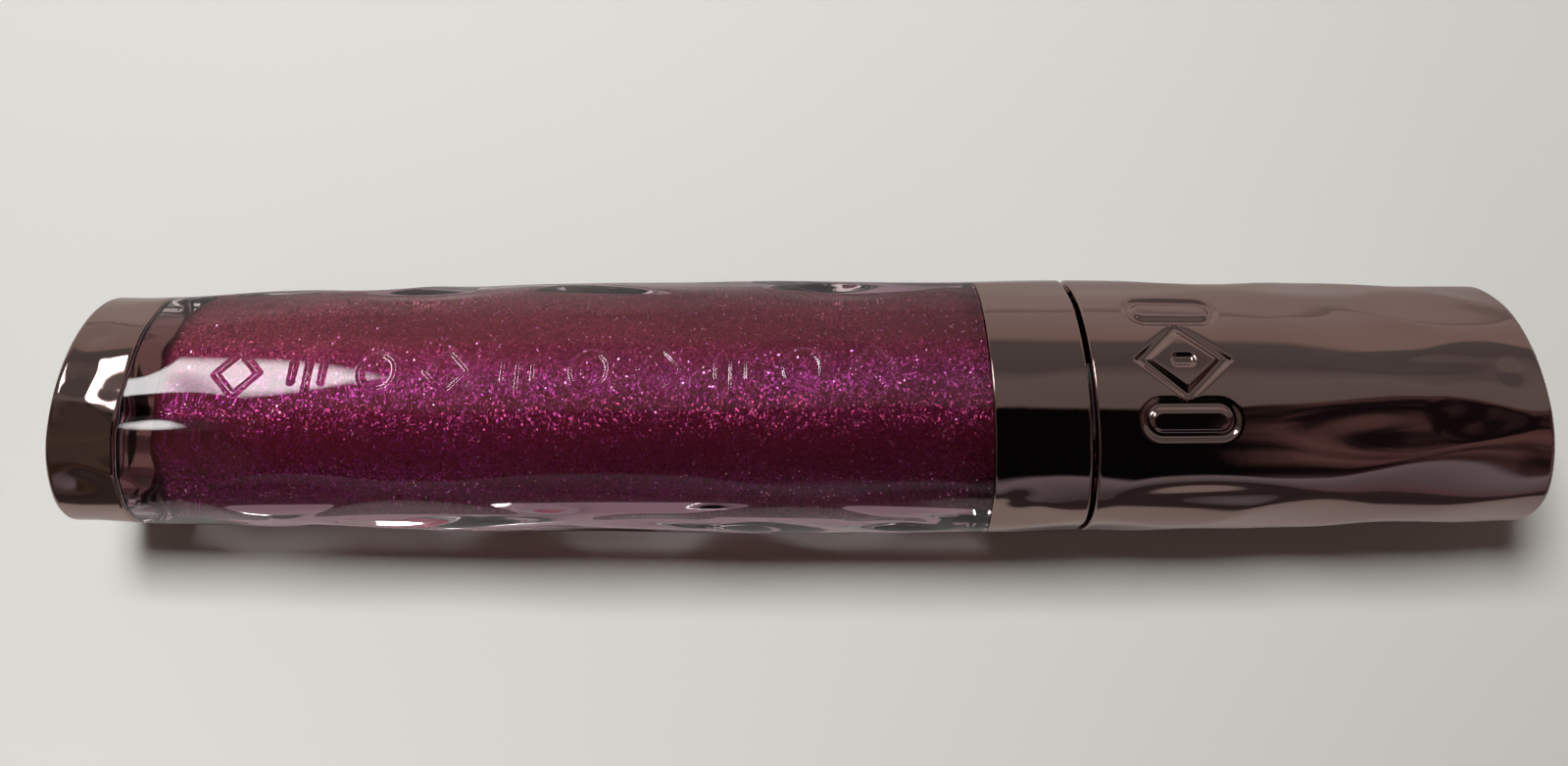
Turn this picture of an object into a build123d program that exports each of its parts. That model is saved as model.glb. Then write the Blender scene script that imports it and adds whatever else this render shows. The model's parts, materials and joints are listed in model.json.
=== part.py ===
from build123d import *
import os

# Lip gloss tube, millimetres. The tube's axis is X: x = 0 is the flat face of the base, and the
# cap points to +X. Z is up while the tube lies on its side.

# Stations along the axis
BASE_CAP_END = 5.2        # where the base cap meets the clear bottle
SHOULDER = 69.4           # where the clear bottle meets the collar
COLLAR_END = 76.65
CAP_MOUTH = 77.0
CAP_END = 110.8
NECK_END = 87.8           # the bottle's open end
CAVITY_FLOOR = 6.6
GLOSS_LEVEL = 74.2

# The outside is one barrel, an arc turned about the axis
BARREL_WIDEST_AT = 62.2
BARREL_MAX_RADIUS = 9.3
BARREL_ARC_RADIUS = 1750.0
END_FILLET = 0.45
SEAM_FILLET = 0.25

# Bottle
CAVITY_RADIUS = 5.2
CAVITY_CORNER = 1.6
FOOT_RADIUS = 6.95        # the foot that the base cap is glued over
FOOT_START = 1.5
COLLAR_SEAT_RADIUS = 7.6
NECK_RADIUS = 6.7
EDGE_BREAK = 0.4          # small chamfers and fillets on hidden rims

# Cap thread: right-handed, four starts, cut as ridges of trapezoid section
THREAD_STARTS = 4
THREAD_PITCH = 2.0
THREAD_LEAD = THREAD_STARTS * THREAD_PITCH
THREAD_DEPTH = 0.65
RIDGE_ROOT_WIDTH = 1.15
RIDGE_CREST_WIDTH = 0.6
THREAD_RADIAL_GAP = 0.25
NECK_THREAD_START = 78.8
NECK_THREAD_END = 87.0
THREAD_EMBED = 0.4        # how far a ridge's section reaches into the wall that it grows from
THREAD_TAPER = 0.1        # how far the tapered ends run past the ridges

# Clearances
GLUE_GAP = 0.03           # glued or pressed pieces that stay together
RUN_GAP = 0.05            # pieces that turn or slide on each other

# Cap
SHELL_BORE = 8.35
SHELL_BORE_END = 92.2
SHELL_TOP_BORE = 7.6
SHELL_END_WALL = 1.6
LINER_MOUTH = 77.25
LINER_LEAD_IN = 0.8
LINER_GROOVE_END = 87.6
LINER_ROOF_START = 89.5
LINER_ROOF_END = 91.4
BOSS_RADIUS = 3.9
BOSS_END = 103.7
RIB_COUNT = 4
RIB_THICKNESS = 1.0

# Wiper in the neck
WIPER_FLANGE_THICKNESS = 0.8
WIPER_FLANGE_RADIUS = 6.3
WIPER_BORE = 4.4
WIPER_CONE_START = 82.7
WIPER_TIP = 78.2
WIPER_ORIFICE = 2.05
WIPER_WALL = 0.6

# Sealing ring, held in the liner by a bead
GASKET_START = 88.65
GASKET_END = 89.45
GASKET_RADIUS = 6.7
GASKET_BORE = 3.4
GASKET_EDGE = 0.15
BEAD_RADIUS = 6.45
BEAD_WIDTH = 0.4

# Wand
STEM_RADIUS = 1.9
STEM_START = 24.8
STEM_END = 101.2
STEM_PLUG_RADIUS = 2.6
STEM_FLANGE_RADIUS = 3.2
STEM_SOCKET_RADIUS = 1.1
STEM_SOCKET_DEPTH = 7.0
STEM_NOSE = 0.3
SHANK_END = 31.5
SHANK_OVERLAP = 1.0       # how far the shank starts inside the applicator's tip
TIP_START = 9.0           # the applicator's free end
TIP_END = 24.2
TIP_CORE_RADIUS = 1.6
TIP_NOSE = 0.85           # nose fillet as a share of the tip's radius
FLOCK_THICKNESS = 0.3
TIP_SLANT = 9.0           # degrees between the doe-foot's flat and the axis
TIP_FLAT_HEIGHT = 0.55    # the flat's height above the axis at the free end
WAND_ROOM_RADIUS = 2.15   # the room that the wand takes up in the gloss
WAND_ROOM_START = 8.5

# Label in the base cap's recess
LABEL_RADIUS = 5.4
LABEL_THICKNESS = 0.12


def barrel_radius(x):
    """Radius of the barrel-shaped outside at a station."""
    return BARREL_MAX_RADIUS - (x - BARREL_WIDEST_AT) ** 2 / (2 * BARREL_ARC_RADIUS)


def turned(*outline):
    """Solid of revolution about the tube's axis, from (station, radius) points."""
    return revolve(make_face(Polyline(*outline, close=True)), Axis.X)


def rod(start, end, radius):
    """Round bar on the axis."""
    return turned((start, 0), (end, 0), (end, radius), (start, radius))


def barrel_slice(start, end):
    """The part of the barrel between two stations, solid through."""
    first, middle, last = [(x, barrel_radius(x)) for x in (start, (start + end) / 2, end)]
    skin = ThreePointArc(first, middle, last)
    inside = Polyline(last, (end, 0), (start, 0), first)
    return revolve(make_face(skin + inside), Axis.X)


def rim_edges(shape, station, radius):
    """The round edges of a turned shape at a station, with about the given radius."""
    rims = shape.edges().filter_by(GeomType.CIRCLE)
    return [e for e in rims if abs(e.arc_center.X - station) < 1e-3 and abs(e.radius - radius) < 1e-2]


def thread_ridges(start, end, tip_radius, tip_width, base_radius, base_width):
    """Core with one helical ridge per start, twisted about the axis through the thread's lead.

    The section's phase depends on the station only, so inner and outer threads mesh at rest.
    """
    def corner(radius, start_index, side, width):
        angle = 360 * (start_index / THREAD_STARTS + side * width / 2 / THREAD_LEAD)
        return Vector(radius, 0, 0).rotate(Axis.Z, angle)

    edges = []
    for index in range(THREAD_STARTS):
        rise = corner(base_radius, index, -1, base_width)
        tip_first = corner(tip_radius, index, -1, tip_width)
        tip_last = corner(tip_radius, index, 1, tip_width)
        fall = corner(base_radius, index, 1, base_width)
        next_rise = corner(base_radius, index + 1, -1, base_width)
        tip_middle = corner(tip_radius, index, 0, tip_width)
        valley_middle = corner(base_radius, index + 0.5, 0, base_width)
        edges.append(Line(rise, tip_first))
        edges.append(ThreePointArc(tip_first, tip_middle, tip_last))
        edges.append(Line(tip_last, fall))
        edges.append(ThreePointArc(fall, valley_middle, next_rise))
    section = Face(Wire(edges))
    length = end - start
    turn = 360 * length / THREAD_LEAD
    twisted = Solid.extrude_linear_with_rotation(section, (0, 0, 0), (0, 0, length), turn)
    along_axis = Pos(start, 0, 0) * Rot(0, 90, 0)
    return along_axis * Rot(0, 0, 360 * start / THREAD_LEAD) * twisted


def ridge_width_at(height):
    """Width of a ridge at a height above its root, along the straight flanks."""
    return RIDGE_ROOT_WIDTH + (RIDGE_CREST_WIDTH - RIDGE_ROOT_WIDTH) * height / THREAD_DEPTH


def neck_thread():
    """The four outer ridges on the neck, with both ends tapered to the neck's surface."""
    crest = NECK_RADIUS + THREAD_DEPTH
    foot = NECK_RADIUS - THREAD_EMBED
    ridges = thread_ridges(
        NECK_THREAD_START, NECK_THREAD_END, crest, RIDGE_CREST_WIDTH, foot, ridge_width_at(-THREAD_EMBED)
    )
    low = NECK_RADIUS - THREAD_TAPER
    high = crest + THREAD_TAPER
    envelope = turned(
        (NECK_THREAD_START - THREAD_TAPER, 0),
        (NECK_THREAD_START - THREAD_TAPER, low),
        (NECK_THREAD_START + THREAD_DEPTH, high),
        (NECK_THREAD_END - THREAD_DEPTH, high),
        (NECK_THREAD_END + THREAD_TAPER, low),
        (NECK_THREAD_END + THREAD_TAPER, 0),
    )
    return ridges & envelope


def make_bottle():
    """Clear thick wall, with the foot for the base cap, the collar's seat and the threaded neck."""
    body = barrel_slice(BASE_CAP_END, SHOULDER)
    body += rod(FOOT_START, BASE_CAP_END, FOOT_RADIUS)
    body += rod(SHOULDER, COLLAR_END, COLLAR_SEAT_RADIUS)
    body += rod(COLLAR_END, NECK_END, NECK_RADIUS)
    body = chamfer(rim_edges(body, NECK_END, NECK_RADIUS), EDGE_BREAK)
    body = fillet(rim_edges(body, FOOT_START, FOOT_RADIUS), EDGE_BREAK)
    body += neck_thread()
    cavity = rod(CAVITY_FLOOR, NECK_END, CAVITY_RADIUS)
    cavity = fillet(rim_edges(cavity, CAVITY_FLOOR, CAVITY_RADIUS), CAVITY_CORNER)
    return body - cavity


def make_gloss_fill():
    """The liquid, which fills the cavity round the wand."""
    radius = CAVITY_RADIUS - GLUE_GAP
    bottom = CAVITY_FLOOR + GLUE_GAP
    fill = rod(bottom, GLOSS_LEVEL, radius)
    fill = fillet(rim_edges(fill, bottom, radius), CAVITY_CORNER)
    return fill - rod(WAND_ROOM_START, GLOSS_LEVEL, WAND_ROOM_RADIUS)


def make_base_cap():
    """Metallised cup, with a shallow recess for the label in its flat end."""
    cup = barrel_slice(0, BASE_CAP_END)
    cup = fillet(rim_edges(cup, 0, barrel_radius(0)), END_FILLET)
    cup -= rod(FOOT_START - GLUE_GAP, BASE_CAP_END, FOOT_RADIUS + GLUE_GAP)
    cup -= rod(0, LABEL_THICKNESS + GLUE_GAP, LABEL_RADIUS + GLUE_GAP)
    return fillet(rim_edges(cup, BASE_CAP_END, barrel_radius(BASE_CAP_END)), SEAM_FILLET)


def make_base_label():
    """Blank round label, flush with the base cap's flat end."""
    return rod(0, LABEL_THICKNESS, LABEL_RADIUS)


def make_collar():
    """Metallised ring over the bottle's seat."""
    ring = barrel_slice(SHOULDER + GLUE_GAP, COLLAR_END)
    ring = fillet(rim_edges(ring, COLLAR_END, barrel_radius(COLLAR_END)), SEAM_FILLET)
    return ring - rod(SHOULDER, COLLAR_END, COLLAR_SEAT_RADIUS + GLUE_GAP)


def make_wiper():
    """Soft insert: a flange on the neck's end, a sleeve, and a cone that scrapes the wand."""
    sleeve_radius = CAVITY_RADIUS - GLUE_GAP
    flange_start = NECK_END + GLUE_GAP
    flange_end = flange_start + WIPER_FLANGE_THICKNESS
    return turned(
        (flange_end, WIPER_BORE),
        (flange_end, WIPER_FLANGE_RADIUS),
        (flange_start, WIPER_FLANGE_RADIUS),
        (flange_start, sleeve_radius),
        (WIPER_CONE_START, sleeve_radius),
        (WIPER_TIP, WIPER_ORIFICE + WIPER_WALL),
        (WIPER_TIP, WIPER_ORIFICE),
        (WIPER_TIP + WIPER_WALL, WIPER_ORIFICE),
        (WIPER_CONE_START, WIPER_BORE),
    )


def make_neck_gasket():
    """Soft ring between the wiper's flange and the liner's roof."""
    ring = rod(GASKET_START, GASKET_END, GASKET_RADIUS) - rod(GASKET_START, GASKET_END, GASKET_BORE)
    return fillet(rim_edges(ring, GASKET_START, GASKET_RADIUS), GASKET_EDGE)


def make_cap_shell():
    """Metallised outer cap, stepped inside for the liner."""
    shell = barrel_slice(CAP_MOUTH, CAP_END)
    shell = fillet(rim_edges(shell, CAP_END, barrel_radius(CAP_END)), END_FILLET)
    shell = fillet(rim_edges(shell, CAP_MOUTH, barrel_radius(CAP_MOUTH)), SEAM_FILLET)
    shell -= rod(CAP_MOUTH, SHELL_BORE_END, SHELL_BORE)
    return shell - rod(SHELL_BORE_END, CAP_END - SHELL_END_WALL, SHELL_TOP_BORE)


def liner_ribs():
    """Ribs that centre the liner's boss in the shell."""
    reach = SHELL_TOP_BORE - RUN_GAP
    length = BOSS_END - LINER_ROOF_END
    rib = Pos(LINER_ROOF_END + length / 2, 0, reach / 2) * Box(length, RIB_THICKNESS, reach)
    return [Rot(360 * index / RIB_COUNT, 0, 0) * rib for index in range(RIB_COUNT)]


def make_cap_liner():
    """Inner cap: threaded skirt, retaining bead for the gasket, roof, and boss for the stem's plug."""
    groove_floor = NECK_RADIUS + THREAD_DEPTH + THREAD_RADIAL_GAP
    ridge_crest = groove_floor - THREAD_DEPTH
    liner = rod(LINER_MOUTH, LINER_ROOF_END, SHELL_BORE - GLUE_GAP)
    liner += rod(LINER_ROOF_END, BOSS_END, BOSS_RADIUS)
    for rib in liner_ribs():
        liner += rib
    gasket_seat = GASKET_START - GLUE_GAP
    liner -= rod(LINER_MOUTH, gasket_seat - BEAD_WIDTH, ridge_crest)
    liner -= rod(LINER_MOUTH, gasket_seat, BEAD_RADIUS)
    liner -= rod(gasket_seat, LINER_ROOF_START, GASKET_RADIUS + RUN_GAP)
    liner -= rod(LINER_ROOF_START, STEM_END + GLUE_GAP, STEM_PLUG_RADIUS + GLUE_GAP)
    lead_in = LINER_MOUTH + LINER_LEAD_IN
    liner -= turned((LINER_MOUTH, 0), (LINER_MOUTH, groove_floor), (lead_in, ridge_crest), (lead_in, 0))
    grooves = thread_ridges(
        LINER_MOUTH - LINER_LEAD_IN,
        LINER_GROOVE_END,
        groove_floor,
        THREAD_PITCH - RIDGE_ROOT_WIDTH,
        ridge_crest - THREAD_EMBED,
        THREAD_PITCH - ridge_width_at(THREAD_DEPTH + THREAD_EMBED),
    )
    return liner - grooves


def make_wand_stem():
    """Rod with a flange and plug for the liner, and a socket for the applicator."""
    flange_end = LINER_ROOF_START - GLUE_GAP
    stem = rod(STEM_START, flange_end, STEM_RADIUS)
    stem += rod(GASKET_START, flange_end, STEM_FLANGE_RADIUS)
    stem += rod(flange_end, STEM_END, STEM_PLUG_RADIUS)
    stem = chamfer(rim_edges(stem, STEM_END, STEM_PLUG_RADIUS), EDGE_BREAK)
    stem = fillet(rim_edges(stem, STEM_START, STEM_RADIUS), STEM_NOSE)
    return stem - rod(STEM_START, STEM_START + STEM_SOCKET_DEPTH, STEM_SOCKET_RADIUS)


def doe_foot(radius, growth):
    """Applicator tip: a round-nosed bar with one slanting flat, grown all round by an allowance."""
    start = TIP_START + FLOCK_THICKNESS - growth
    bar = rod(start, TIP_END, radius)
    bar = fillet(rim_edges(bar, start, radius), TIP_NOSE * radius)
    length = TIP_END - TIP_START
    waste = Box(2 * length, 4 * radius, 4 * radius, align=(Align.CENTER, Align.CENTER, Align.MIN))
    return bar - Pos(TIP_START, 0, TIP_FLAT_HEIGHT + growth) * Rot(0, -TIP_SLANT, 0) * waste


def make_applicator_core():
    """Plastic doe-foot tip, with the shank that is pressed into the stem."""
    shank = rod(TIP_END - SHANK_OVERLAP, SHANK_END, STEM_SOCKET_RADIUS - GLUE_GAP)
    return doe_foot(TIP_CORE_RADIUS, 0) + shank


def make_applicator_flock():
    """Flocked sleeve over the tip."""
    outside = doe_foot(TIP_CORE_RADIUS + FLOCK_THICKNESS, FLOCK_THICKNESS)
    inside = doe_foot(TIP_CORE_RADIUS + GLUE_GAP, GLUE_GAP)
    return outside - inside


PIECES = {
    "bottle": make_bottle,
    "gloss_fill": make_gloss_fill,
    "base_cap": make_base_cap,
    "base_label": make_base_label,
    "collar": make_collar,
    "wiper": make_wiper,
    "neck_gasket": make_neck_gasket,
    "cap_shell": make_cap_shell,
    "cap_liner": make_cap_liner,
    "wand_stem": make_wand_stem,
    "applicator_core": make_applicator_core,
    "applicator_flock": make_applicator_flock,
}

os.makedirs("parts", exist_ok=True)
for name, make_piece in PIECES.items():
    export_step(make_piece(), f"parts/{name}.step")
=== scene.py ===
import json
import math

import bmesh
import bpy
import numpy as np
from mathutils import Matrix, Vector


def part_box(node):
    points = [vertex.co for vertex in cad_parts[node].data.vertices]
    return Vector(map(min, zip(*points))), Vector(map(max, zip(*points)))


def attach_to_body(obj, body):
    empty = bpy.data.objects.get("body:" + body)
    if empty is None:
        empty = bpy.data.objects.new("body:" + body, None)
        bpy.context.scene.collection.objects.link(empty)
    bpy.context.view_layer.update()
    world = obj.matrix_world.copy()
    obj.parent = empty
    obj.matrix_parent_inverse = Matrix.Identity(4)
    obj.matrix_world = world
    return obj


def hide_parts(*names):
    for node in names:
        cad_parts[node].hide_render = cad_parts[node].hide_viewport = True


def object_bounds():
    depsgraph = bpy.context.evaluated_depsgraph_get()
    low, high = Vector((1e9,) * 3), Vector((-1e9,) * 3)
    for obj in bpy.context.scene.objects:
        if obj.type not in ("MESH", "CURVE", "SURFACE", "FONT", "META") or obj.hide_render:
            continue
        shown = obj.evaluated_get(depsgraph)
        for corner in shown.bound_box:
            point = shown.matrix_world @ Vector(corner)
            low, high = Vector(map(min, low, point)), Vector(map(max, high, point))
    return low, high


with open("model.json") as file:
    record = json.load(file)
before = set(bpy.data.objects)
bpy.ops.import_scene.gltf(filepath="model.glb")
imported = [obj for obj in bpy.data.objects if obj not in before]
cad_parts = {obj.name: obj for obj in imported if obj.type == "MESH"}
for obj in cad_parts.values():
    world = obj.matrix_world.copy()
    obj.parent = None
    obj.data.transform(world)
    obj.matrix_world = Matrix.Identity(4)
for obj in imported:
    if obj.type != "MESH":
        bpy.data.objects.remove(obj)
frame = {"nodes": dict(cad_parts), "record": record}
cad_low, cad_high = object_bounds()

MM = 0.001

# ---------------------------------------------------------------- places, from the frame
BOTTLE_LOW, BOTTLE_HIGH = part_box("bottle")
COLLAR_LOW, COLLAR_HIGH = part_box("collar")
CAP_LOW, CAP_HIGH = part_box("cap_shell")
GLOSS_LOW, GLOSS_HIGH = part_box("gloss_fill")
LABEL_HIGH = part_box("base_label")[1]
LINER_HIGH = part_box("cap_liner")[1]

BASE_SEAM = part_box("base_cap")[1].x    # base cap to clear bottle
SHOULDER = COLLAR_LOW.x                # clear bottle to collar
COLLAR_END = COLLAR_HIGH.x
CAP_MOUTH = CAP_LOW.x
CAP_END = CAP_HIGH.x
FOOT_START = BOTTLE_LOW.x
NECK_END = BOTTLE_HIGH.x
CAVITY_FLOOR = GLOSS_LOW.x
GLOSS_LEVEL = GLOSS_HIGH.x
GLOSS_RADIUS = GLOSS_HIGH.z

# ---------------------------------------------------------------- the tube's own sizes
BARREL_MAX_RADIUS = BOTTLE_HIGH.z
BARREL_WIDEST_AT = 62.2 * MM
BARREL_ARC_RADIUS = 1750 * MM
END_FILLET = 0.45 * MM
SEAM_FILLET = 0.25 * MM
LIP_FILLET = 0.4 * MM
GAP = 0.03 * MM
FOOT_RADIUS = 6.95 * MM
SEAT_RADIUS = 7.6 * MM
NECK_RADIUS = 6.7 * MM
CAVITY_CORNER = 1.6 * MM
SHELL_BORE = LINER_HIGH.z + GAP
SHELL_BORE_END = 92.2 * MM
SHELL_TOP_BORE = 7.6 * MM
SHELL_END_WALL = 1.6 * MM
WAND_ROOM_RADIUS = 2.15 * MM
WAND_ROOM_START = 8.5 * MM

THREAD_STARTS = 4
THREAD_LEAD = 8 * MM
THREAD_DEPTH = 0.65 * MM
THREAD_START = 78.8 * MM
THREAD_END = 87.0 * MM
RIDGE_ROOT_WIDTH = 1.15 * MM
RIDGE_CREST_WIDTH = 0.6 * MM

# The cavity lies a little off the axis, on the far side
CAVITY_ASIDE = 0.4 * MM

# Soft dents all over the outside, faint on the upper side of the tube's middle
DENT_LENGTH = 21 * MM
DENTS_AROUND = 8
DENT_DEPTH = 0.24 * MM
RIDGE_ROUNDNESS = 0.02
RIDGE_LEVEL = 0.14                     # puts the crests of the ridges between dents on the barrel
FRONT_ANGLE = math.radians(8)
FRONT_CALM = 0.75
END_CALM = 3 * MM

# Single hollows that stand out from the net: station, angle, half length, half width, depth
BASE_HOLLOWS = (
    (-0.8 * MM, math.radians(12), 4.0 * MM, 4.6 * MM, 0.62 * MM),
    (6.2 * MM, math.radians(7), 4.0 * MM, 3.2 * MM, 0.30 * MM),
    (1.9 * MM, math.radians(37), 1.6 * MM, 1.4 * MM, 0.10 * MM),
    (2.4 * MM, math.radians(-38), 2.2 * MM, 1.6 * MM, 0.12 * MM),
)
BOTTLE_HOLLOWS = (
    (8.8 * MM, math.radians(-5), 7.6 * MM, 1.8 * MM, 0.44 * MM),
    (4.8 * MM, math.radians(25), 4.2 * MM, 2.4 * MM, 0.20 * MM),
    (14.0 * MM, math.radians(54), 2.2 * MM, 0.9 * MM, 0.10 * MM),
    (25.0 * MM, math.radians(66), 7.0 * MM, 1.7 * MM, 0.25 * MM),
    (58.8 * MM, math.radians(62), 8.5 * MM, 2.0 * MM, 0.30 * MM),
    (44.0 * MM, math.radians(-64), 6.0 * MM, 1.7 * MM, 0.25 * MM),
    (63.0 * MM, math.radians(-66), 5.0 * MM, 1.6 * MM, 0.25 * MM),
)
COLLAR_HOLLOWS = (
    (71.3 * MM, math.radians(-46), 1.9 * MM, 1.3 * MM, 0.12 * MM),
)
CAP_HOLLOWS = (
    (85.3 * MM, math.radians(-45), 9.0 * MM, 1.5 * MM, 0.18 * MM),
    (101.0 * MM, math.radians(17), 7.0 * MM, 1.0 * MM, 0.07 * MM),
    (98.0 * MM, math.radians(-14), 9.0 * MM, 2.2 * MM, 0.12 * MM),
    (105.5 * MM, math.radians(-6), 4.5 * MM, 2.6 * MM, 0.16 * MM),
    (96.0 * MM, math.radians(46), 8.0 * MM, 1.8 * MM, 0.10 * MM),
    (108.3 * MM, math.radians(13), 1.2 * MM, 1.2 * MM, 0.12 * MM),
)

# Raised ornaments in a row along the bottle
MARK_COUNT = 10
MARK_PITCH = 5.25 * MM
MARK_ROW_START = 13.6 * MM
MARK_ANGLE = math.radians(14.5)
MARK_SIZE = 1.6 * MM
MARK_STROKE = 0.36 * MM
MARK_RELIEF = 0.09 * MM

# Pressed ornament on the cap
MOTIF_AT = 83.9 * MM
MOTIF_ANGLE = math.radians(18.5)
MOTIF_STROKE = 1.0 * MM
MOTIF_DEPTH = 0.26 * MM


# ================================================================ shape helpers
def smoothstep(edge_low, edge_high, value):
    share = np.clip((value - edge_low) / (edge_high - edge_low), 0, 1)
    return share * share * (3 - 2 * share)


def barrel_radius(x):
    """Radius of the smooth barrel at a station."""
    return BARREL_MAX_RADIUS - (x - BARREL_WIDEST_AT) ** 2 / (2 * BARREL_ARC_RADIUS)


def turn_between(angle, other):
    """Smaller angle between two directions round the axis, signed."""
    return (angle - other + math.pi) % (2 * math.pi) - math.pi


def skin_dents(x, angle):
    """Staggered net of long, shallow hollows with soft ridges between, warped so that no two are alike."""
    along = math.pi * x / DENT_LENGTH
    along = along + 0.55 * np.sin(2 * angle + 1.1 + along * 0.6) + 0.3 * np.sin(3 * angle - along * 0.45)
    around = DENTS_AROUND * angle / 2 + 0.5 * np.sin(along * 0.7 + 0.4)
    around = around + 0.35 * np.sin(2 * angle + along * 0.31)
    net = np.cos(along + around) * np.cos(along - around)
    off_front = np.abs(turn_between(angle, FRONT_ANGLE))
    front = 1 - smoothstep(math.radians(35), math.radians(62), off_front)
    middle = smoothstep(8 * MM, 16 * MM, x) * smoothstep(10 * MM, 20 * MM, CAP_END - x)
    depth = DENT_DEPTH * (1 - FRONT_CALM * front * middle)
    return -depth * (np.sqrt(net * net + RIDGE_ROUNDNESS) - RIDGE_LEVEL)


def single_hollows(x, angle, hollows):
    """The long, soft-edged hollows that stand out from the net."""
    height = np.zeros_like(x + angle)
    for station, toward, half_length, half_width, depth in hollows:
        u = np.abs(x - station) / half_length
        v = turn_between(angle, toward) * BARREL_MAX_RADIUS / half_width
        height -= depth * (1 - smoothstep(0, 1, np.sqrt(u ** 2 + v ** 2)))
    return height


def end_calm(x):
    """1 along the tube, falling off at its two flat ends."""
    return smoothstep(-END_CALM, END_CALM, x) * smoothstep(-END_CALM, END_CALM, CAP_END - x)


def ring_outline(u, v, radius):
    return np.abs(np.hypot(u, v) - radius)


def diamond_outline(u, v, half_width, half_height):
    inside = np.abs(u) / half_width + np.abs(v) / half_height - 1
    return np.abs(inside) / math.hypot(1 / half_width, 1 / half_height)


def pill_outline(u, v, half_length, radius):
    return np.abs(np.hypot(np.maximum(np.abs(u) - half_length, 0), v) - radius)


def bar(u, v, half_width, half_height):
    return np.hypot(np.maximum(np.abs(u) - half_width, 0), np.maximum(np.abs(v) - half_height, 0))


def mark_distance(index, u, v):
    """Distance to the line work of one of the ornaments in the bottle's row."""
    size = MARK_SIZE
    if index % 3 == 0:
        return diamond_outline(u, v, size, size)
    if index % 3 == 1:
        return np.minimum(bar(u, v, 0, size), bar(np.abs(u) - size * 0.7, v, 0, size * 0.45))
    return ring_outline(u, v, size * 0.85)


def row_marks(x, angle):
    """Height of the raised row on the bottle."""
    v = (angle - MARK_ANGLE) * BARREL_MAX_RADIUS
    height = np.zeros_like(x + angle)
    for index in range(MARK_COUNT):
        u = x - (MARK_ROW_START + index * MARK_PITCH)
        edge = mark_distance(index, u, v) / (MARK_STROKE / 2)
        height = np.maximum(height, 1 - smoothstep(0.3, 1.4, edge))
    return MARK_RELIEF * height


def cap_motif(x, angle):
    """Depth of the pressed ornament on the cap: nested diamonds between two pills."""
    u = x - MOTIF_AT
    v = (angle - MOTIF_ANGLE) * BARREL_MAX_RADIUS
    line = diamond_outline(u, v, 3.1 * MM, 2.6 * MM)
    line = np.minimum(line, pill_outline(u, np.abs(v) - 4.3 * MM, 2.1 * MM, 1.1 * MM))
    line = np.minimum(line, bar(u, v, 0.5 * MM, 0.1 * MM))
    return -MOTIF_DEPTH * (1 - smoothstep(0.15, 1.1, line / (MOTIF_STROKE / 2)))


def outer_relief(x, angle, hollows):
    return (skin_dents(x, angle) + single_hollows(x, angle, hollows)) * end_calm(x)


def base_relief(x, angle):
    return outer_relief(x, angle, BASE_HOLLOWS)


def collar_relief(x, angle):
    return outer_relief(x, angle, COLLAR_HOLLOWS)


def cavity_aside(x, radius):
    """How far a turned point's ring lies off the axis: only the cavity's wall does, up to the collar."""
    on_wall = (radius > 1.2 * WAND_ROOM_RADIUS) & (radius < GLOSS_RADIUS + GAP) & (x > CAVITY_FLOOR - 2 * GAP)
    return CAVITY_ASIDE * on_wall * (1 - smoothstep(SHOULDER, COLLAR_END, x))


def bottle_relief(x, angle):
    """Dents and the raised row on the barrel, and the thread on the neck."""
    barrel_part = outer_relief(x, angle, BOTTLE_HOLLOWS) + row_marks(x, angle)
    return np.where(x < COLLAR_END, barrel_part, thread_relief(x, angle))


def cap_relief(x, angle):
    return outer_relief(x, angle, CAP_HOLLOWS) + cap_motif(x, angle)


def thread_relief(x, angle):
    """Four right-handed ridges round the neck, tapered at both ends."""
    pitch = THREAD_LEAD / THREAD_STARTS
    turn = -angle / (2 * math.pi) * THREAD_LEAD
    off = np.abs((x - turn + pitch / 2) % pitch - pitch / 2)
    ridge = 1 - smoothstep(RIDGE_CREST_WIDTH / 2, RIDGE_ROOT_WIDTH / 2, off)
    ends = smoothstep(0, THREAD_DEPTH, x - THREAD_START) * smoothstep(0, THREAD_DEPTH, THREAD_END - x)
    return THREAD_DEPTH * ridge * ends


# ================================================================ mesh helpers
def steps(start, end, size):
    """Evenly spaced values from start to end, about size apart."""
    return np.linspace(start, end, max(2, math.ceil(abs(end - start) / size) + 1))


def arc(centre_x, centre_r, radius, from_deg, to_deg, count=8):
    """Points of an arc in the (station, radius) plane, without relief."""
    turns = np.radians(np.linspace(from_deg, to_deg, count + 1))
    return [(centre_x + radius * math.cos(t), centre_r + radius * math.sin(t), 0.0) for t in turns]


def end_arc(centre_x, centre_r, from_deg):
    """Rounded edge of a flat end, from the face up to the barrel, with relief growing along it."""
    points = arc(centre_x, centre_r, END_FILLET, from_deg, 90, 14)
    return [(x, r, (r - centre_r) / END_FILLET) for x, r, share in points]


def wall(start, end, radius, size=1.0 * MM):
    """Straight turned wall between two stations."""
    return [(x, radius, 0.0) for x in steps(start, end, size)]


def face(x, from_radius, to_radius, size=0.8 * MM):
    """Flat turned face at a station."""
    return [(x, r, 0.0) for r in steps(from_radius, to_radius, size)]


def barrel(start, end, size):
    """The barrel's outside between two stations, with full relief."""
    return [(x, barrel_radius(x), 1.0) for x in steps(start, end, size)]


def with_relief(points):
    """The same points, moved by the whole of the relief."""
    return [(x, r, 1.0) for x, r, share in points]


def angle_steps(fine_centre, fine_half, fine_size, coarse_size):
    """Angles round the axis, denser about one direction."""
    fine = steps(fine_centre - fine_half, fine_centre + fine_half, fine_size)
    rest = steps(fine_centre + fine_half, fine_centre + 2 * math.pi - fine_half, coarse_size)
    return np.concatenate([fine, rest[1:-1]])


EVEN_ANGLES = steps(0, 2 * math.pi, math.radians(1.5))[:-1]


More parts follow.
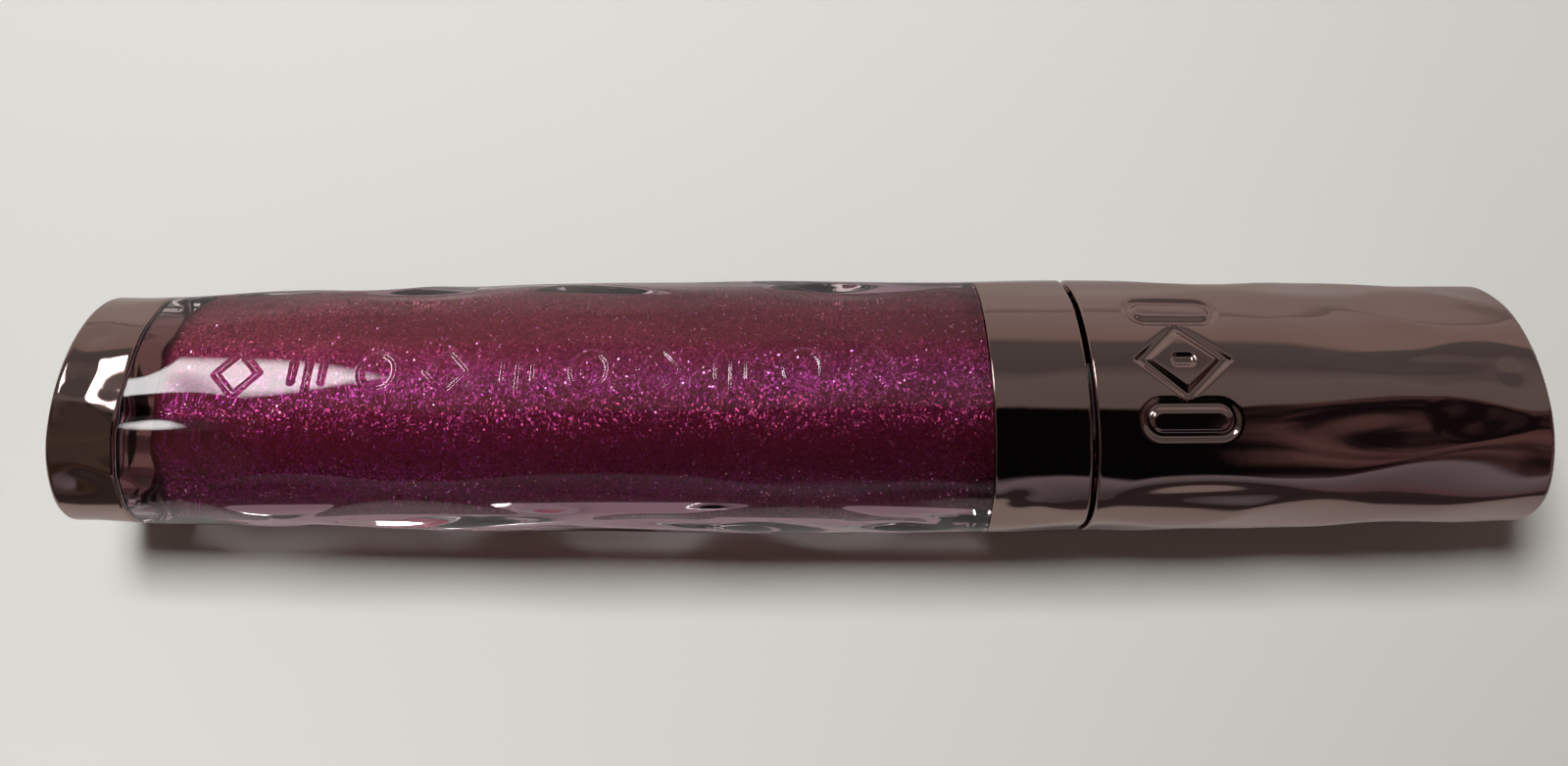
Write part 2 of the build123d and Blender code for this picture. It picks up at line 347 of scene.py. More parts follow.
def turned_mesh(name, profile, relief=None, angles=EVEN_ANGLES, loop=False, aside=None, sharp_deg=38):
    """Closed mesh turned about the axis from (station, radius, share of relief) points.

    The profile either starts and ends on the axis, or loops back to its first point.
    """
    points = np.array(profile, float)
    keep = np.ones(len(points), bool)
    keep[1:] = np.abs(np.diff(points[:, :2], axis=0)).max(1) > 1e-8
    points = points[keep]
    x = points[:, 0][:, None]
    radius = points[:, 1][:, None] + np.zeros(len(angles))[None, :]
    if relief is not None:
        radius = radius + points[:, 2][:, None] * relief(x, angles[None, :])
    ring_x = np.broadcast_to(x, radius.shape)
    shift = aside(x, points[:, 1][:, None]) if aside else 0.0
    grid = np.stack([ring_x, radius * np.sin(angles) + shift, radius * np.cos(angles)], axis=2)

    mesh_builder = bmesh.new()
    rings = []
    for row, point in zip(grid, points):
        if point[1] < 1e-9:
            rings.append([mesh_builder.verts.new((point[0], 0, 0))])
        else:
            rings.append([mesh_builder.verts.new(co) for co in row])
    pairs = list(zip(rings, rings[1:]))
    if loop:
        pairs.append((rings[-1], rings[0]))
    count = len(angles)
    for first, second in pairs:
        for i in range(count):
            j = (i + 1) % count
            corners = [ring[k % len(ring)] for ring, k in ((first, i), (first, j), (second, j), (second, i))]
            unique = [v for k, v in enumerate(corners) if v not in corners[:k]]
            mesh_builder.faces.new(unique)
    bmesh.ops.recalc_face_normals(mesh_builder, faces=mesh_builder.faces)
    return finished_object(name, mesh_builder, sharp_deg)


def finished_object(name, mesh_builder, sharp_deg=38):
    mesh = bpy.data.meshes.new(name)
    mesh_builder.to_mesh(mesh)
    mesh_builder.free()
    mesh.shade_smooth()
    mesh.set_sharp_from_angle(angle=math.radians(sharp_deg))
    piece = bpy.data.objects.new(name, mesh)
    bpy.context.scene.collection.objects.link(piece)
    return piece


def attach(piece, body, slot_name, material, *nodes):
    """Puts a new piece on its body, in place of the CAD nodes that it stands for."""
    piece.data.materials.clear()
    piece.data.materials.append(material)
    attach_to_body(piece, body)
    if nodes:
        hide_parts(*nodes)
    return piece


# ================================================================ material helpers
class Nodes:
    """Short spellings for building the node tree of a material, a world or a light."""

    def __init__(self, owner, output="ShaderNodeOutputMaterial"):
        owner.use_nodes = True
        self.owner = owner
        self.output = output
        self.tree = owner.node_tree
        self.tree.nodes.clear()

    def add(self, kind, inputs=None, **settings):
        node = self.tree.nodes.new(kind)
        for key, value in settings.items():
            setattr(node, key, value)
        for key, value in (inputs or {}).items():
            self.feed(node.inputs[key], value)
        return node

    def feed(self, socket, value):
        if isinstance(value, bpy.types.NodeSocket):
            self.tree.links.new(value, socket)
        else:
            socket.default_value = value

    def math(self, operation, *values, clamp=False):
        node = self.add("ShaderNodeMath", operation=operation, use_clamp=clamp)
        for socket, value in zip(node.inputs, values):
            self.feed(socket, value)
        return node.outputs[0]

    def vector(self, operation, *values, **extra):
        node = self.add("ShaderNodeVectorMath", operation=operation)
        for socket, value in zip(node.inputs, values):
            self.feed(socket, value)
        for key, value in extra.items():
            self.feed(node.inputs[key], value)
        return node.outputs["Value"] if operation in ("DOT_PRODUCT", "LENGTH") else node.outputs["Vector"]

    def coords(self):
        return self.add("ShaderNodeTexCoord").outputs["Object"]

    def axes(self, vector):
        return self.add("ShaderNodeSeparateXYZ", {"Vector": vector}).outputs

    def channels(self, colour):
        return self.add("ShaderNodeSeparateColor", {"Color": colour}).outputs

    def noise(self, scale, detail=3.0, roughness=0.55, vector=None):
        inputs = {"Scale": scale, "Detail": detail, "Roughness": roughness}
        inputs["Vector"] = vector if vector is not None else self.coords()
        return self.add("ShaderNodeTexNoise", inputs).outputs["Fac"]

    def stretched_noise(self, place, scales, *settings):
        """Noise with its own scale along each axis."""
        return self.noise(1.0, *settings, vector=self.vector("MULTIPLY", place, scales))

    def cells(self, scale, vector=None):
        """Small cells, each with its own random colour."""
        inputs = {"Scale": scale, "Vector": vector if vector is not None else self.coords()}
        return self.add("ShaderNodeTexVoronoi", inputs).outputs["Color"]

    def span(self, value, low, high, to_low, to_high):
        inputs = {"Value": value, "From Min": low, "From Max": high, "To Min": to_low, "To Max": to_high}
        return self.add("ShaderNodeMapRange", inputs).outputs["Result"]

    def mix_colour(self, share, first, second, blend_type="MIX"):
        node = self.add("ShaderNodeMix", data_type="RGBA", blend_type=blend_type)
        self.feed(node.inputs[0], share)
        self.feed(node.inputs[6], first)
        self.feed(node.inputs[7], second)
        return node.outputs[2]

    def ramp(self, share, *stops):
        node = self.add("ShaderNodeValToRGB", {"Fac": share})
        for place, colour in stops[1:-1]:
            node.color_ramp.elements.new(place).color = colour
        elements = node.color_ramp.elements
        elements[0].position, elements[0].color = stops[0]
        elements[-1].position, elements[-1].color = stops[-1]
        return node.outputs["Color"]

    def bump(self, height, distance):
        inputs = {"Height": height, "Distance": distance, "Strength": 1.0}
        return self.add("ShaderNodeBump", inputs).outputs["Normal"]

    def mix_shader(self, share, first, second):
        node = self.add("ShaderNodeMixShader")
        self.feed(node.inputs[0], share)
        self.feed(node.inputs[1], first)
        self.feed(node.inputs[2], second)
        return node.outputs[0]

    def principled(self, **inputs):
        names = {key.replace("_", " "): value for key, value in inputs.items()}
        return self.add("ShaderNodeBsdfPrincipled", names).outputs["BSDF"]

    def finish(self, shader):
        self.add(self.output, {"Surface": shader})
        return self.owner


def material_nodes(name):
    return Nodes(bpy.data.materials.new(name))


def rgb(red, green, blue):
    return (red, green, blue, 1.0)


# ================================================================ materials
def metallised_material():
    """Vacuum metallised plastic, warm gunmetal, with faint orange peel and wipe marks."""
    n = material_nodes("metallised")
    tone = n.mix_colour(n.noise(90, 2), rgb(0.40, 0.285, 0.265), rgb(0.45, 0.33, 0.305))
    haze = n.span(n.noise(260, 4, 0.6), 0.35, 0.75, 0.03, 0.07)
    peel = n.bump(n.noise(700, 2), 0.003 * MM)
    return n.finish(n.principled(Base_Color=tone, Metallic=1.0, Roughness=haze, Normal=peel))


def clear_material():
    """Thick clear copolyester.

    Light on its way to the gloss isn't bent, but light that grazes the wall is kept from the table,
    because the real wall would turn it into the gloss.
    """
    n = material_nodes("clear_wall")
    haze = n.span(n.noise(320, 4, 0.6), 0.4, 0.8, 0.0, 0.03)
    tint = n.mix_colour(n.noise(60, 1), rgb(0.975, 0.93, 0.95), rgb(0.985, 0.95, 0.965))
    ripple = n.bump(n.noise(500, 2), 0.002 * MM)
    glass = n.principled(
        Base_Color=tint,
        Roughness=haze,
        IOR=1.57,
        Specular_IOR_Level=0.36,
        Transmission_Weight=1.0,
        Normal=ripple,
    )
    geometry = n.add("ShaderNodeNewGeometry")
    across = n.vector("NORMALIZE", n.vector("MULTIPLY", geometry.outputs["Incoming"], (0.0, 1.0, 1.0)))
    facing = n.math("ABSOLUTE", n.vector("DOT_PRODUCT", geometry.outputs["Normal"], across))
    steep = n.span(facing, 0.79, 0.84, 0.0, 1.0)
    passed = n.mix_colour(steep, rgb(0.09, 0.04, 0.04), rgb(0.95, 0.93, 0.94))
    straight = n.add("ShaderNodeBsdfTransparent", {"Color": passed}).outputs[0]
    path = n.add("ShaderNodeLightPath")
    passing = n.math("MAXIMUM", path.outputs["Is Shadow Ray"], path.outputs["Is Diffuse Ray"])
    return n.finish(n.mix_shader(passing, glass, straight))


def leaning_normal(n, normal, cells, lean):
    """Normal of flakes that each lean their own way off the surface."""
    own_way = n.vector("SCALE", n.vector("SUBTRACT", cells, (0.5, 0.5, 0.5)), Scale=lean)
    return n.vector("NORMALIZE", n.vector("ADD", normal, own_way))


def gloss_material():
    """Burgundy liquid full of fine flakes, whose colour follows the way the surface faces: partly the
    pigment's own shift, partly painted light and shade, darker facing the near side, magenta where the lamp's
    highlight falls and copper on the far side.

    Towards the collar it has painted shade, fewer flakes and a darker body, for the lamp's light falling off
    along the tube, and a few bright glints all over.
    """
    n = material_nodes("gloss_liquid")
    normal = n.add("ShaderNodeNewGeometry").outputs["Normal"]
    place = n.coords()
    far_facing = n.axes(normal)[1]
    station = n.axes(place)[0]
    body_tone_and_shade = n.mix_colour(n.noise(110, 3), rgb(0.062, 0.0045, 0.0105), rgb(0.10, 0.008, 0.017))
    # painted shade: the body darkens towards the collar, for the lamp's light falling off along the tube
    to_collar = n.span(station, 20 * MM, 70 * MM, 0.0, 1.0)
    painted_shade_to_collar = n.mix_colour(to_collar, rgb(1.0, 1.0, 1.0), rgb(0.55, 0.45, 0.65))
    body_tone_and_shade = n.mix_colour(1.0, body_tone_and_shade, painted_shade_to_collar, "MULTIPLY")
    body = n.principled(Base_Color=body_tone_and_shade, Roughness=0.55, Specular_IOR_Level=0.1)

    fine = n.cells(8500, vector=place)
    pick = n.channels(fine)
    # partly painted light and shade: flake colour follows the way the surface faces, darker facing the near
    # side, magenta where the lamp's highlight falls, copper on the far side
    hue = n.span(far_facing, -0.1, 0.75, 0.0, 0.8)
    hue = n.math("ADD", hue, n.math("MULTIPLY", n.math("SUBTRACT", pick[0], 0.5), 0.5), clamp=True)
    flake_tone_and_painted_light = n.ramp(
        hue,
        (0.0, rgb(0.24, 0.026, 0.085)),
        (0.2, rgb(0.42, 0.048, 0.34)),
        (0.45, rgb(0.42, 0.038, 0.18)),
        (1.0, rgb(0.50, 0.11, 0.12)),
    )
    flake_normal = leaning_normal(n, normal, fine, 0.8)
    flake = n.principled(Base_Color=flake_tone_and_painted_light, Metallic=1.0, Roughness=0.38, Normal=flake_normal)
    drift = n.span(n.stretched_noise(place, (60, 350, 350), 3), 0.35, 0.65, 0.7, 1.3)
    # random drift of the flakes, times painted shade: fewer flakes towards the collar, for the lamp's light
    # falling off
    crowd_and_painted_shade = n.math("MULTIPLY", drift, n.span(station, 15 * MM, 75 * MM, 1.25, 0.65))
    cover = n.math("MULTIPLY", n.span(pick[1], 0.15, 0.85, 0.08, 0.62), crowd_and_painted_shade)
    pearl = n.mix_shader(cover, body, flake)

    sparse = n.cells(9000, vector=place)
    choice = n.channels(sparse)
    glint_normal = leaning_normal(n, normal, sparse, 0.6)
    glint_tone = n.mix_colour(choice[0], rgb(0.55, 0.12, 0.55), rgb(0.60, 0.36, 0.34))
    glint = n.principled(Base_Color=glint_tone, Metallic=1.0, Roughness=0.28, Normal=glint_normal)
    rare = n.math("GREATER_THAN", choice[2], 0.985)
    return n.finish(n.mix_shader(rare, pearl, glint))


def moulded_material(name, tone_low, tone_high, roughness, translucency=0.0):
    """Plain moulded plastic with a fine spark-eroded grain."""
    n = material_nodes(name)
    tone = n.mix_colour(n.noise(150, 3), tone_low, tone_high)
    grain = n.bump(n.noise(4000, 3), 0.01 * MM)
    rough = n.span(n.noise(900, 3), 0.3, 0.7, roughness - 0.05, roughness + 0.07)
    return n.finish(
        n.principled(
            Base_Color=tone,
            Roughness=rough,
            Normal=grain,
            Subsurface_Weight=translucency,
            Subsurface_Scale=0.5 * MM,
        )
    )


def stem_material():
    """Black rod, wetted by streaks of gloss that get denser towards the applicator."""
    n = material_nodes("stem_plastic")
    place = n.coords()
    reach = n.span(n.axes(place)[0], 25 * MM, 80 * MM, 0.34, -0.12)
    wet = n.span(n.math("ADD", n.stretched_noise(place, (70, 900, 900), 4), reach), 0.62, 0.68, 0.0, 1.0)
    sparkle = n.math("MULTIPLY", n.cells(6000), 0.6)
    wet_tone = n.mix_colour(sparkle, rgb(0.13, 0.006, 0.035), rgb(0.45, 0.05, 0.28))
    tone = n.mix_colour(wet, rgb(0.022, 0.019, 0.021), wet_tone)
    rough = n.span(wet, 0.0, 1.0, 0.28, 0.1)
    height = n.bump(wet, 0.04 * MM)
    return n.finish(n.principled(Base_Color=tone, Roughness=rough, Normal=height, Coat_Weight=wet))


def flock_material():
    """Short nylon pile, soaked unevenly with the gloss."""
    n = material_nodes("flock")
    soak = n.noise(700, 4)
    tone = n.ramp(
        soak,
        (0.3, rgb(0.13, 0.006, 0.035)),
        (0.55, rgb(0.27, 0.018, 0.10)),
        (0.8, rgb(0.48, 0.07, 0.25)),
    )
    fibre = n.bump(n.stretched_noise(n.coords(), (3500, 7000, 7000), 4, 0.7), 0.12 * MM)
    return n.finish(
        n.principled(
            Base_Color=tone,
            Roughness=0.45,
            Normal=fibre,
            Sheen_Weight=0.5,
            Coat_Weight=0.4,
            Coat_Roughness=0.15,
        )
    )


def label_material():
    """Coated paper, with faint fibre."""
    n = material_nodes("label_paper")
    tone = n.mix_colour(n.noise(1500, 4), rgb(0.72, 0.69, 0.67), rgb(0.80, 0.78, 0.76))
    fibre = n.bump(n.noise(3500, 3), 0.008 * MM)
    return n.finish(n.principled(Base_Color=tone, Roughness=0.5, Normal=fibre))


def table_material():
    """Painted off-white table top, matt, with faint wipe marks.

    It has painted light: a little paler on the near left, and a little darker on the near right. Away from
    the tube it glows faintly, painted light for the rest of the room. The tube's skin mirrors it as a painted
    reflection, dimmer than it looks, and dark beyond
    50 to 65 mm on the near side. Seen through the clear wall it has a painted lilac glow, for the light that
    the wall gathers.
    """
    n = material_nodes("table_top")
    place = n.coords()
    x, y = n.axes(place)[:2]
    path = n.add("ShaderNodeLightPath").outputs
    tone = n.mix_colour(n.noise(6, 3, vector=place), rgb(0.71, 0.71, 0.685), rgb(0.745, 0.745, 0.72))
    rough = n.span(n.stretched_noise(place, (25, 160, 1), 4), 0.35, 0.7, 0.55, 0.65)

    # painted light: the near side is lifted paler towards the left and darkened towards the right
    near = n.span(y, 0.0, -30 * MM, 0.0, 1.0)
    painted_light_lift = n.math("ADD", n.math("MULTIPLY", near, n.span(x, 0.0, 115 * MM, 0.15, -0.05)), 1.0)
    painted_light_colour = n.add("ShaderNodeCombineColor", {"Red": painted_light_lift, "Green": painted_light_lift, "Blue": painted_light_lift}).outputs[0]
    tone = n.mix_colour(1.0, tone, painted_light_colour, "MULTIPLY")

    # painted reflection: in the tube's skin the table shows dimmer, and dark past 50 to 65 mm on the near
    # side
    painted_reflection_mask = n.span(y, -65 * MM, -50 * MM, 0.0, 1.0)
    mirrored = n.mix_colour(painted_reflection_mask, rgb(0.10, 0.08, 0.085), rgb(0.62, 0.58, 0.58))
    mirrored = n.mix_colour(1.0, tone, mirrored, "MULTIPLY")
    tone = n.mix_colour(path["Is Glossy Ray"], tone, mirrored)

    # painted light: a faint glow away from the tube, and a lilac glow seen only through the clear wall
    far = n.span(n.vector("LENGTH", place), 120 * MM, 500 * MM, 0.0, 0.42)
    through = path["Is Transmission Ray"]
    return n.finish(
        n.principled(
            Base_Color=tone,
            Roughness=rough,
            Specular_IOR_Level=0.1,
            Emission_Color=n.mix_colour(through, tone, rgb(0.20, 0.12, 0.145)),
            Emission_Strength=n.math("MAXIMUM", far, through),
        )
    )


def wiper_material():
    return moulded_material("wiper_plastic", rgb(0.74, 0.73, 0.70), rgb(0.82, 0.81, 0.78), 0.42, 0.4)


def liner_material():
    return moulded_material("inner_plastic", rgb(0.018, 0.016, 0.017), rgb(0.03, 0.027, 0.028), 0.4)


def gasket_material():
    return moulded_material("gasket_foam", rgb(0.62, 0.60, 0.56), rgb(0.72, 0.70, 0.66), 0.7, 0.2)


MATERIALS = {
    "metallised": metallised_material(),
    "clear_wall": clear_material(),
    "gloss_liquid": gloss_material(),
    "wiper_plastic": wiper_material(),
    "inner_plastic": liner_material(),
    "gasket_foam": gasket_material(),
    "stem_plastic": stem_material(),
    "flock": flock_material(),
    "label_paper": label_material(),
}


# ================================================================ pieces
def make_base_cap():
    """Metallised cup: flat end with the label's recess, rounded edge, barrel skin, bore for the foot."""
    seam_x = BASE_SEAM - SEAM_FILLET
    seam_r = barrel_radius(BASE_SEAM) - SEAM_FILLET
    recess = LABEL_HIGH.z + GAP
    bore = FOOT_RADIUS + GAP
    end_r = barrel_radius(0) - END_FILLET
    profile = [(LABEL_HIGH.x + GAP, 0, 0)]
    profile += face(LABEL_HIGH.x + GAP, 1 * MM, recess)
    profile += face(0, recess, end_r)
    profile += end_arc(END_FILLET, end_r, 180)
    profile += barrel(END_FILLET, seam_x, 0.2 * MM)
    profile += with_relief(arc(seam_x, seam_r, SEAM_FILLET, 90, 0, 6))
    profile += face(BASE_SEAM, seam_r, bore)
    profile += wall(BASE_SEAM, FOOT_START - GAP, bore)
    profile += face(FOOT_START - GAP, bore, 1 * MM)
    profile += [(FOOT_START - GAP, 0, 0)]
    piece = turned_mesh("base_cap_skin", profile, base_relief)
    return attach(piece, "bottle", "metallised", MATERIALS["metallised"], "base_cap")


def make_bottle():
    """Clear wall: foot, wavy barrel with the raised row, collar seat, threaded neck and the cavity."""
    seam_r = barrel_radius(BASE_SEAM) - SEAM_FILLET
    cavity = GLOSS_RADIUS - GAP / 2
    floor = CAVITY_FLOOR - GAP
    profile = [(FOOT_START, 0, 0)]
    profile += face(FOOT_START, 1 * MM, FOOT_RADIUS - LIP_FILLET)
    profile += arc(FOOT_START + LIP_FILLET, FOOT_RADIUS - LIP_FILLET, LIP_FILLET, 180, 90, 5)
    profile += wall(FOOT_START + LIP_FILLET, BASE_SEAM, FOOT_RADIUS, 0.4 * MM)
    profile += face(BASE_SEAM, FOOT_RADIUS, seam_r, 0.4 * MM)
    profile += with_relief(arc(BASE_SEAM + SEAM_FILLET, seam_r, SEAM_FILLET, 180, 90, 5))
    profile += barrel(BASE_SEAM + SEAM_FILLET, SHOULDER - GAP, 0.12 * MM)
    profile += face(SHOULDER - GAP, barrel_radius(SHOULDER), SEAT_RADIUS, 0.3 * MM)[1:]
    profile += wall(SHOULDER, COLLAR_END, SEAT_RADIUS)
    profile += face(COLLAR_END, SEAT_RADIUS, NECK_RADIUS, 0.3 * MM)
    profile += with_relief(wall(COLLAR_END, NECK_END - LIP_FILLET, NECK_RADIUS, 0.14 * MM))
    profile += arc(NECK_END - LIP_FILLET, NECK_RADIUS - LIP_FILLET, LIP_FILLET, 90, 0, 5)
    profile += face(NECK_END, NECK_RADIUS - LIP_FILLET, cavity, 0.4 * MM)
    profile += wall(NECK_END, floor + CAVITY_CORNER, cavity, 0.8 * MM)
    profile += arc(floor + CAVITY_CORNER, cavity - CAVITY_CORNER, CAVITY_CORNER, 90, 180, 12)
    profile += face(floor, cavity - CAVITY_CORNER, 1 * MM)
    profile += [(floor, 0, 0)]
    angles = angle_steps(MARK_ANGLE, math.radians(13), 0.08 * MM / BARREL_MAX_RADIUS, math.radians(1.3))
    piece = turned_mesh("bottle_wall", profile, bottle_relief, angles, aside=cavity_aside, sharp_deg=75)
    return attach(piece, "bottle", "clear_wall", MATERIALS["clear_wall"], "bottle")


def make_gloss():
    """The liquid, wetting the wall of the cavity, with the wand's room down its middle."""
    radius = GLOSS_RADIUS
    floor = CAVITY_FLOOR - 1.5 * GAP
    profile = [(floor, 0, 0)]
    profile += face(floor, 1 * MM, radius - CAVITY_CORNER)
    profile += arc(floor + CAVITY_CORNER, radius - CAVITY_CORNER, CAVITY_CORNER, 180, 90, 12)
    profile += wall(floor + CAVITY_CORNER, GLOSS_LEVEL, radius)
    profile += face(GLOSS_LEVEL, radius, WAND_ROOM_RADIUS)
    profile += wall(GLOSS_LEVEL, WAND_ROOM_START, WAND_ROOM_RADIUS, 4 * MM)
    profile += [(WAND_ROOM_START, 0, 0)]
    piece = turned_mesh("gloss_column", profile, aside=cavity_aside)
    return attach(piece, "bottle", "gloss_liquid", MATERIALS["gloss_liquid"], "gloss_fill")


def make_collar():
    """Metallised ring over the bottle's seat."""
    inner = SEAT_RADIUS + GAP
    start_r = barrel_radius(SHOULDER) - SEAM_FILLET
    end_r = barrel_radius(COLLAR_END) - SEAM_FILLET
    profile = face(SHOULDER, inner, start_r, 0.4 * MM)
    profile += with_relief(arc(SHOULDER + SEAM_FILLET, start_r, SEAM_FILLET, 180, 90, 6))
    profile += barrel(SHOULDER + SEAM_FILLET, COLLAR_END - SEAM_FILLET, 0.2 * MM)
    profile += with_relief(arc(COLLAR_END - SEAM_FILLET, end_r, SEAM_FILLET, 90, 0, 6))
    profile += face(COLLAR_END, end_r, inner, 0.4 * MM)
    profile += wall(COLLAR_END, SHOULDER, inner)[:-1]
    piece = turned_mesh("collar_skin", profile, collar_relief, loop=True)
    return attach(piece, "bottle", "metallised", MATERIALS["metallised"], "collar")


def make_cap():
    """Metallised outer cap with the pressed ornament, hollow for the liner."""
    mouth_r = barrel_radius(CAP_MOUTH) - SEAM_FILLET
    end_r = barrel_radius(CAP_END) - END_FILLET
    inner_end = CAP_END - SHELL_END_WALL
    profile = [(inner_end, 0, 0)]
    profile += face(inner_end, 1 * MM, SHELL_TOP_BORE)
    profile += wall(inner_end, SHELL_BORE_END, SHELL_TOP_BORE)
    profile += face(SHELL_BORE_END, SHELL_TOP_BORE, SHELL_BORE, 0.4 * MM)
    profile += wall(SHELL_BORE_END, CAP_MOUTH, SHELL_BORE)
    profile += face(CAP_MOUTH, SHELL_BORE, mouth_r, 0.3 * MM)
    profile += with_relief(arc(CAP_MOUTH + SEAM_FILLET, mouth_r, SEAM_FILLET, 180, 90, 6))
    profile += barrel(CAP_MOUTH + SEAM_FILLET, CAP_END - END_FILLET, 0.14 * MM)
    profile += end_arc(CAP_END - END_FILLET, end_r, 0)[::-1]
    profile += face(CAP_END, end_r, 1 * MM)
    profile += [(CAP_END, 0, 0)]
    angles = angle_steps(MOTIF_ANGLE, math.radians(42), 0.12 * MM / BARREL_MAX_RADIUS, math.radians(1.5))
    piece = turned_mesh("cap_skin", profile, cap_relief, angles)
    return attach(piece, "cap", "metallised", MATERIALS["metallised"], "cap_shell")


def finish_cad_nodes():
    """Gives the CAD nodes that stay their own materials."""
    slots = {part["node"]: part["material_slot"] for part in frame["record"]["subparts"]}
    for name, node in frame["nodes"].items():
        node.data.materials.clear()
        node.data.materials.append(MATERIALS[slots[name]])
        node.data.shade_smooth()
        node.data.set_sharp_from_angle(angle=math.radians(32))


make_base_cap()
make_bottle()
make_gloss()
make_collar()
make_cap()
finish_cad_nodes()


# ================================================================ stage, light and camera
TABLE_HALF = 2500 * MM


def make_floor():
    """Table top, square, touching the tube."""
    builder = bmesh.new()
    ways = ((-1, -1), (1, -1), (1, 1), (-1, 1))
    corners = [builder.verts.new((x * TABLE_HALF, y * TABLE_HALF, cad_low.z)) for x, y in ways]
    builder.faces.new(corners)
    floor = finished_object("table_top", builder)
    floor.data.materials.append(table_material())


def make_world():
    """Room that the tube's skin mirrors: pale on the far side, and black on the near side above a dim strip.

    Maroon swirls mix in past the cap's end, and olive ones on the near side past the base. The camera sees a
    pale backdrop instead, and the light that the room gives is dim.
    """
    world = bpy.data.worlds.new("room")
    bpy.context.scene.world = world
    n = Nodes(world, "ShaderNodeOutputWorld")
    direction = n.add("ShaderNodeTexCoord").outputs["Generated"]
    x, y, z = n.axes(direction)
    lean = n.math("ARCTAN2", y, z)                      # 0 overhead, positive to the far side
    wobble = n.math("MULTIPLY", n.math("SUBTRACT", n.noise(1.6, 2, vector=direction), 0.5), 0.25)
    share = n.span(n.math("ADD", lean, wobble), -math.pi / 2, math.pi / 2, 0.0, 1.0)
    room = n.ramp(
        share,
        (0.0, rgb(0.10, 0.09, 0.10)),
        (0.09, rgb(0.24, 0.22, 0.25)),
        (0.11, rgb(0.004, 0.004, 0.005)),
        (0.46, rgb(0.004, 0.0035, 0.0035)),
        (0.475, rgb(0.20, 0.18, 0.17)),
        (0.60, rgb(0.21, 0.20, 0.185)),
        (0.66, rgb(0.13, 0.12, 0.125)),
        (0.81, rgb(0.15, 0.145, 0.145)),
        (0.835, rgb(0.34, 0.28, 0.25)),
        (1.0, rgb(0.40, 0.36, 0.36)),
    )
    swirl = n.span(n.noise(3.0, 3, vector=direction), 0.4, 0.6, 0.0, 1.0)
    maroon = n.mix_colour(swirl, rgb(0.012, 0.008, 0.01), rgb(0.16, 0.095, 0.09))
    maroon = n.mix_colour(1.0, room, maroon, "LIGHTEN")
    room = n.mix_colour(n.span(x, 0.33, 0.40, 0.0, 1.0), room, maroon)
    olive = n.ramp(
        share,
        (0.0, rgb(0.06, 0.04, 0.03)),
        (0.14, rgb(0.05, 0.03, 0.022)),
        (0.2, rgb(0.13, 0.10, 0.07)),
        (0.42, rgb(0.12, 0.095, 0.07)),
        (0.5, rgb(0.03, 0.028, 0.028)),
    )
    olive = n.mix_colour(swirl, olive, rgb(0.09, 0.07, 0.06))
    near_left = n.math("MULTIPLY", n.span(x, -0.38, -0.43, 0.0, 1.0), n.span(share, 0.56, 0.5, 0.0, 1.0))
    room = n.mix_colour(near_left, room, olive)

    path = n.add("ShaderNodeLightPath").outputs
    mirrored = n.add("ShaderNodeBackground", {"Color": room}).outputs[0]
    dim = n.add("ShaderNodeBackground", {"Color": rgb(0.075, 0.05, 0.045)}).outputs[0]
    backdrop = n.add("ShaderNodeBackground", {"Color": rgb(0.72, 0.71, 0.68)}).outputs[0]
    unseen = n.mix_shader(path["Is Diffuse Ray"], mirrored, dim)
    n.finish(n.mix_shader(path["Is Camera Ray"], unseen, backdrop))


LENS_SHEAR = 0.19
LENS_FADE = 0.5
DAYLIGHT = {
    "direction": (-0.20, 0.36, 0.92),
    "distance": 340 * MM,
    "size": (95 * MM, 95 * MM),
    "power": 1.13,
    "colour": (0.99, 1.0, 0.985),
}
WINDOW = {
    "direction": (-0.476, 0.391, 0.788),
    "distance": 504 * MM,
    "size": (135 * MM, 270 * MM),
    "power": 1.35,
    "colour": (1.0, 1.0, 1.0),
}


def lens_shaped(holder):
    """Gives a light a bright middle that fades to a leaning lens outline, pointed at both ends."""
    n = Nodes(holder.data, "ShaderNodeOutputLight")
    x, y = n.axes(n.add("ShaderNodeTexCoord", object=holder).outputs["Object"])[:2]
    sheared = n.math("ADD", x, n.math("MULTIPLY", y, LENS_SHEAR))
    along = n.math("DIVIDE", sheared, holder.data.size / 2)
    across = n.math("DIVIDE", y, holder.data.size_y / 2)
    half_width = n.math("SUBTRACT", 1.0, n.math("MULTIPLY", along, along))
    inside = n.math("SUBTRACT", half_width, n.math("ABSOLUTE", across))
    strength = n.span(inside, 0.0, LENS_FADE, 0.0, 1.0)
    n.finish(n.add("ShaderNodeEmission", {"Strength": strength}).outputs[0])


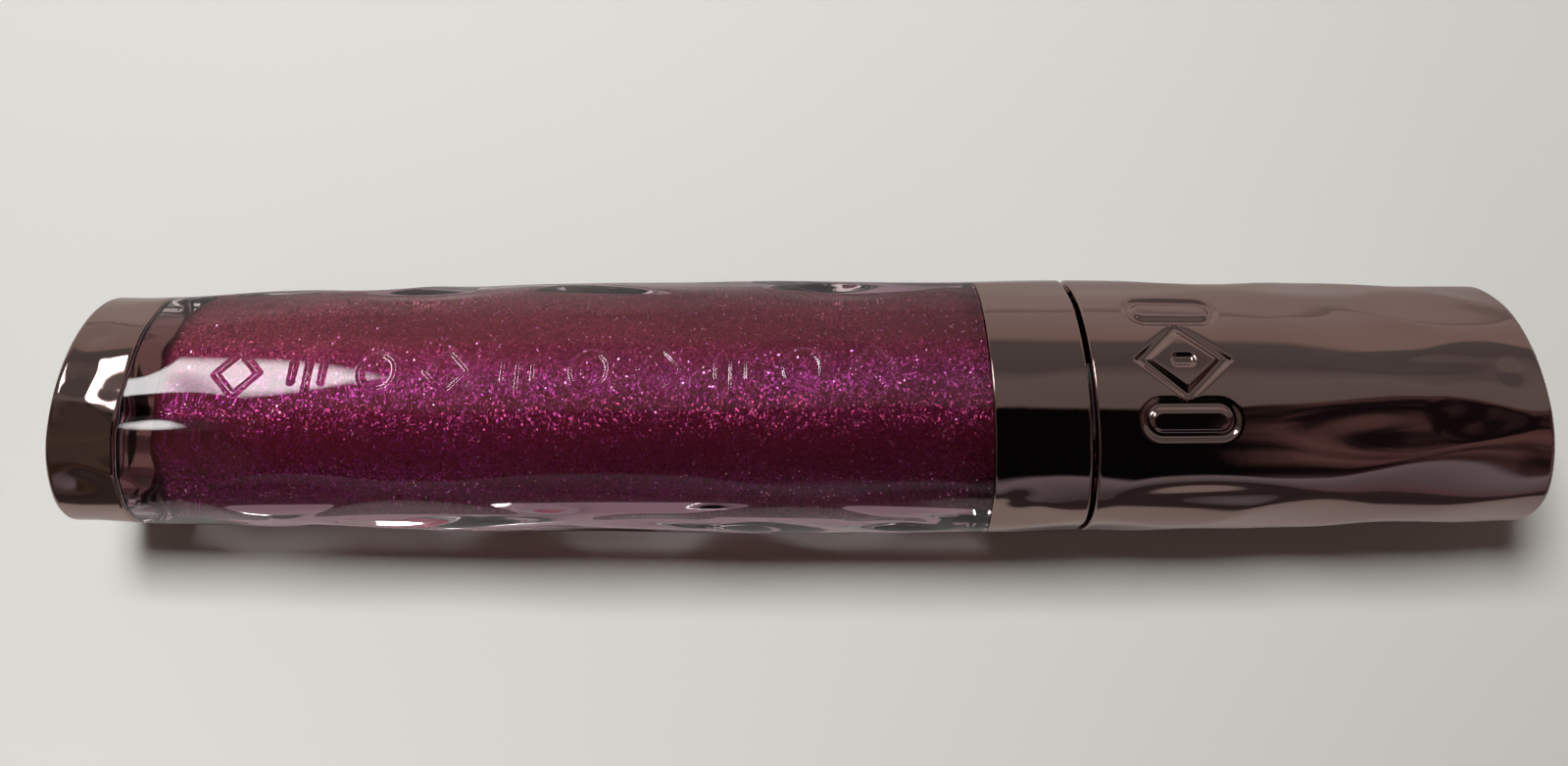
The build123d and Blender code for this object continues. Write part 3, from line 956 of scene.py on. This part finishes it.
def make_light(name, direction, distance, size, power, colour):
    """Soft rectangular light that faces the tube's middle."""
    target = Vector(((cad_low.x + cad_high.x) / 2, 0, 0))
    light = bpy.data.lights.new(name, "AREA")
    light.shape = "RECTANGLE"
    light.size, light.size_y = size
    light.energy = power
    light.color = colour
    holder = bpy.data.objects.new(name, light)
    toward = Vector(direction).normalized()
    holder.location = target + toward * distance
    holder.rotation_mode = "QUATERNION"
    side = Vector((0, 1, 0)).cross(toward).normalized()
    holder.rotation_quaternion = Matrix((side, toward.cross(side), toward)).transposed().to_quaternion()
    bpy.context.scene.collection.objects.link(holder)
    return holder


CAMERA_STATION = 53.7 * MM
CAMERA_HEIGHT = 109.8 * MM
CAMERA_TURNS = (math.radians(22.52), math.radians(-0.26), math.radians(-0.21))
CAMERA_LENS = 29.21
CAMERA_SENSOR = 36
CAMERA_SHIFT = -0.3238
SHIFT_REACH = 20 * MM                  # once the camera is this far from its place, its lens isn't shifted


def make_camera():
    """Overhead camera, leaning to the far side, with the lens shifted down to the tube.

    The shift belongs to this place only: a driver takes it away when the camera is moved elsewhere.
    """
    camera = bpy.data.cameras.new("camera")
    camera.lens = CAMERA_LENS
    camera.sensor_width = CAMERA_SENSOR
    camera.clip_start = 1 * MM
    camera.clip_end = 20
    holder = bpy.data.objects.new("camera", camera)
    bpy.context.scene.collection.objects.link(holder)
    holder.location = (CAMERA_STATION, 0, CAMERA_HEIGHT)
    holder.rotation_euler = CAMERA_TURNS
    bpy.context.scene.camera = holder

    place = bpy.data.objects.new("camera_place", None)
    place.location = holder.location
    bpy.context.scene.collection.objects.link(place)
    curve = camera.driver_add("shift_y")
    curve.driver.type = "SUM"
    distance = curve.driver.variables.new()
    distance.name = "distance"
    distance.type = "LOC_DIFF"
    distance.targets[0].id = holder
    distance.targets[1].id = place
    for modifier in list(curve.modifiers):
        curve.modifiers.remove(modifier)
    for distance_off, shift in ((0.0, CAMERA_SHIFT), (SHIFT_REACH, 0.0)):
        curve.keyframe_points.insert(distance_off, shift).interpolation = "LINEAR"
    curve.extrapolation = "CONSTANT"


make_floor()
make_world()
daylight = make_light("daylight", **DAYLIGHT)
daylight.visible_glossy = False
window = make_light("window", **WINDOW)
window.visible_diffuse = False
lens_shaped(window)
make_camera()
bpy.context.scene.view_settings.view_transform = "Standard"
